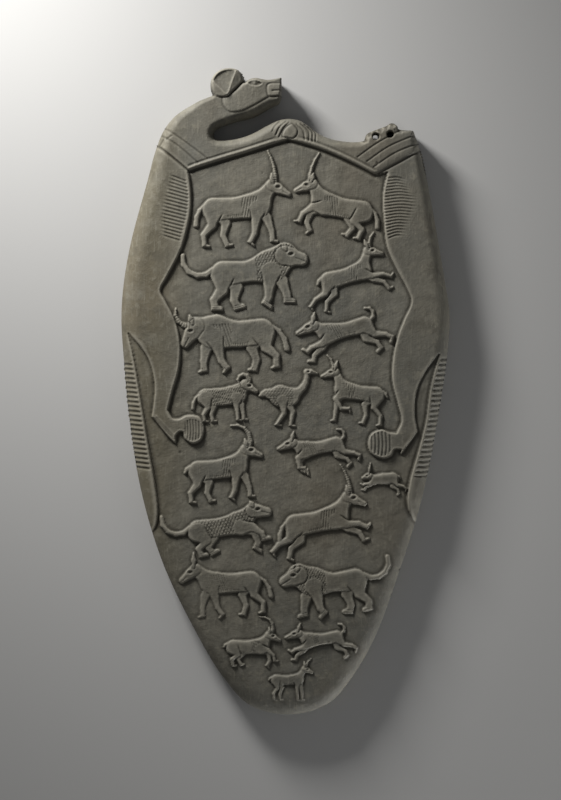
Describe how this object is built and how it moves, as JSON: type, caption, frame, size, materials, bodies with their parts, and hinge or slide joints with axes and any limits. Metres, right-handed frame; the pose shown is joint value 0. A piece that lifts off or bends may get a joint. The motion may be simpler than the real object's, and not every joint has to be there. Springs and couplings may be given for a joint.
{
  "type": "cosmetic palette",
  "caption": "Almond-shaped dark stone cosmetic palette framed by hounds whose forepaws join at the top, one head broken off, with a field of animals carved in low relief.",
  "frame": {"origin": "middle of the outline's width and height, on the flat back face", "axes": "+X to the side of the broken neck, +Y up the palette to the surviving head, +Z out of the carved front face"},
  "size_m": [0.2161, 0.425, 0.022],
  "materials": {
    "siltstone": "honed, worn smooth"
  },
  "bodies": {
    "root": {"doe": "siltstone", "fawn": "siltstone", "forepaw_pad": "siltstone", "grinding_well_ring": "siltstone", "hare": "siltstone", "ibex": "siltstone", "leaping_hound": "siltstone", "left_collar": "siltstone", "left_forepaw": "siltstone", "left_hind_paw": "siltstone", "left_hound_ear": "siltstone", "left_hound_flank": "siltstone", "left_hound_foreleg": "siltstone", "left_hound_haunch": "siltstone", "left_hound_head": "siltstone", "left_hound_neck": "siltstone", "left_hound_tail": "siltstone", "left_oryx": "siltstone", "leopard": "siltstone", "lower_hound": "siltstone", "lower_ibex": "siltstone", "lower_lion": "siltstone", "middle_oryx": "siltstone", "ostrich": "siltstone", "ram": "siltstone", "right_collar": "siltstone", "right_forepaw": "siltstone", "right_hind_paw": "siltstone", "right_hound_flank": "siltstone", "right_hound_foreleg": "siltstone", "right_hound_haunch": "siltstone", "right_hound_tail": "siltstone", "right_neck_stump": "siltstone", "right_oryx": "siltstone", "running_hound": "siltstone", "stone_slab": "siltstone", "upper_gazelle": "siltstone", "upper_lion": "siltstone", "wild_ass": "siltstone", "wild_bull": "siltstone"}
  },
  "joints": []
}
